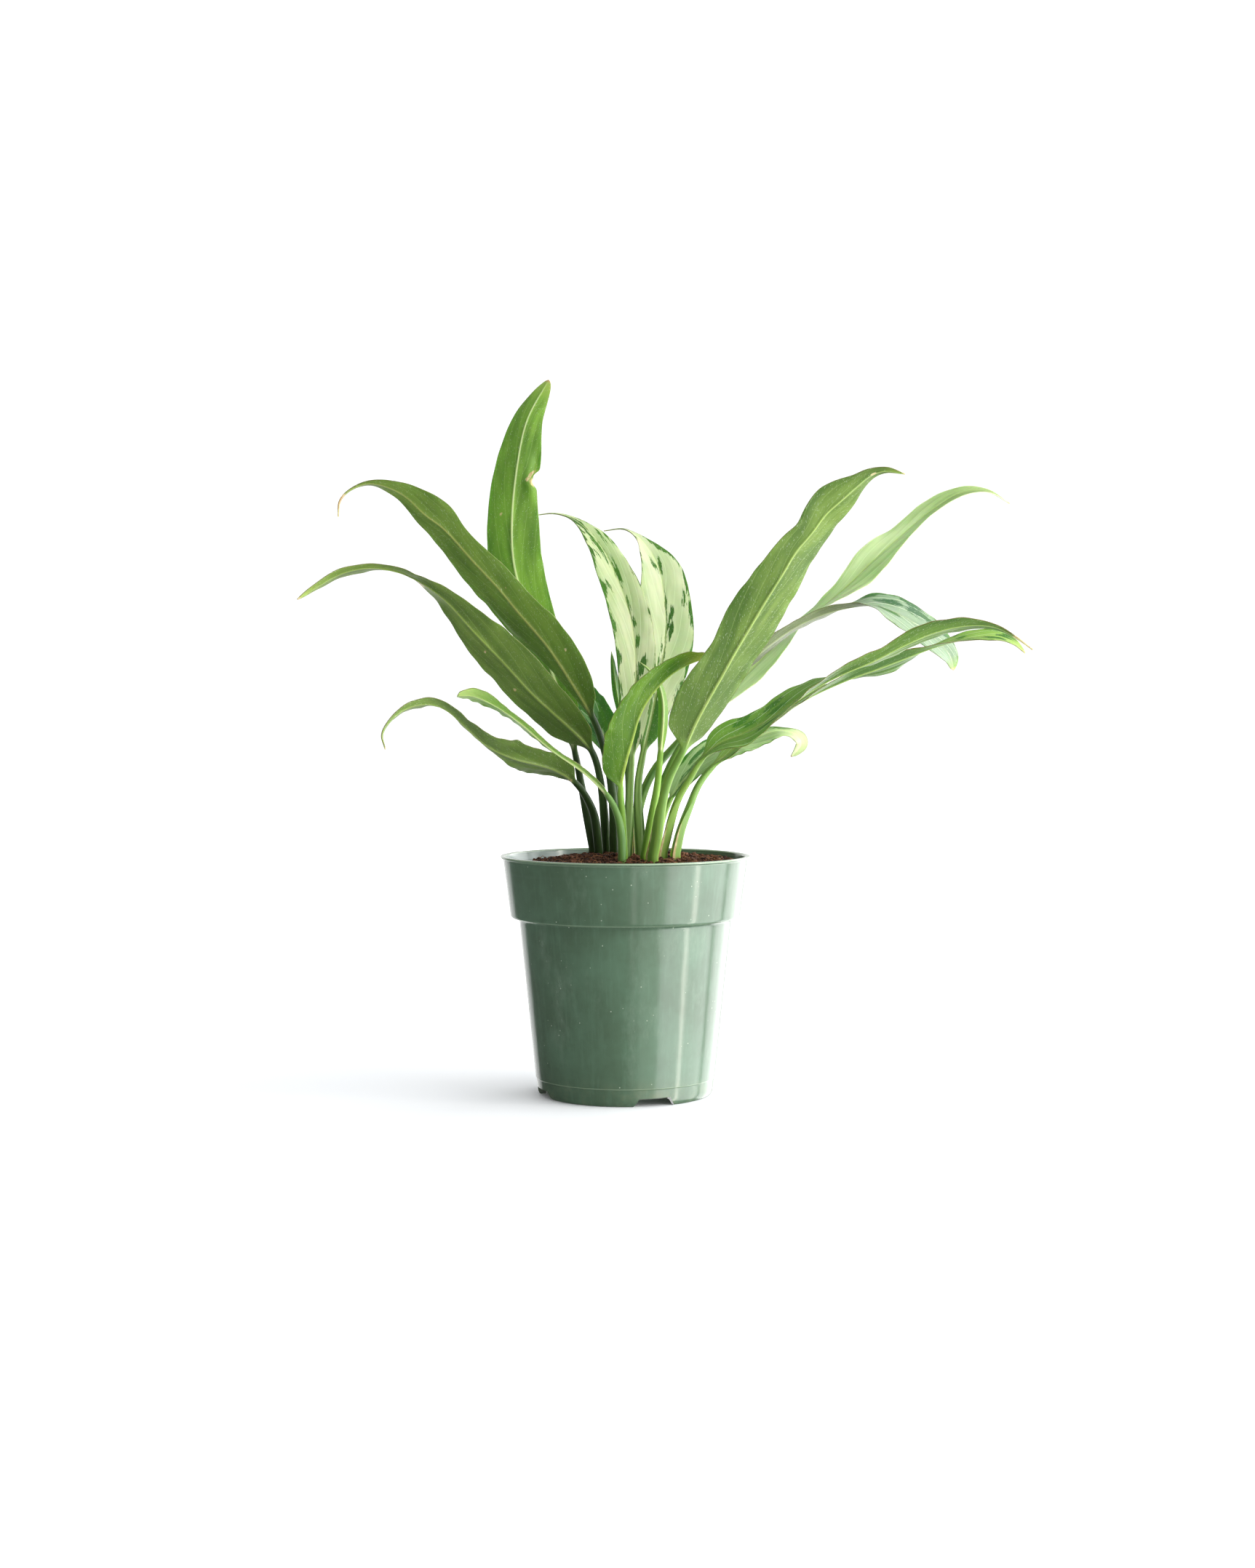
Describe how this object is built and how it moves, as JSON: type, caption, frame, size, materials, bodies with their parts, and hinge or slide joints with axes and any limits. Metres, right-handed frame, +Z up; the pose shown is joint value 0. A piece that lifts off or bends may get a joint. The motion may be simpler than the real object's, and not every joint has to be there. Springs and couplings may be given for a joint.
{
  "type": "potted chinese evergreen",
  "caption": "Chinese evergreen with long waved leaves on upright stalks, planted in a round green nursery pot with a flared lip, a deep rim band and drainage notches in its foot.",
  "frame": {"origin": "on the pot's axis, in the plane of its foot ring, where the pot stands", "axes": "+Z up, -Y towards the pictured front, +X to the right as seen from the front"},
  "size_m": [0.4797, 0.225, 0.4814],
  "materials": {
    "pot_plastic": "satin to glossy muted green polypropylene",
    "potting_mix": "rough reddish-brown peat and coir",
    "leaf_green": "satin leaf, mid-green underside with a raised pale midrib",
    "leaf_variegated": "satin leaf, silver-green upper side with dark green blotches"
  },
  "bodies": {
    "root": {"pot": "pot_plastic", "potting_mix": "potting_mix", "leaf_tall_left": "leaf_green", "leaf_upper_left": "leaf_green", "leaf_lower_left": "leaf_green", "leaf_torn_left": "leaf_green", "leaf_drooping_left": "leaf_green", "leaf_young_front": "leaf_green", "leaf_rolled_young": "leaf_green", "leaf_large_right": "leaf_green", "leaf_shaded_left": "leaf_green", "leaf_variegated_left": "leaf_variegated", "leaf_variegated_right": "leaf_variegated", "leaf_spear_back": "leaf_green", "leaf_upper_right": "leaf_green", "leaf_twisted_right": "leaf_green", "leaf_long_right": "leaf_green", "leaf_long_low_right": "leaf_green", "leaf_short_right": "leaf_green"}
  },
  "joints": []
}
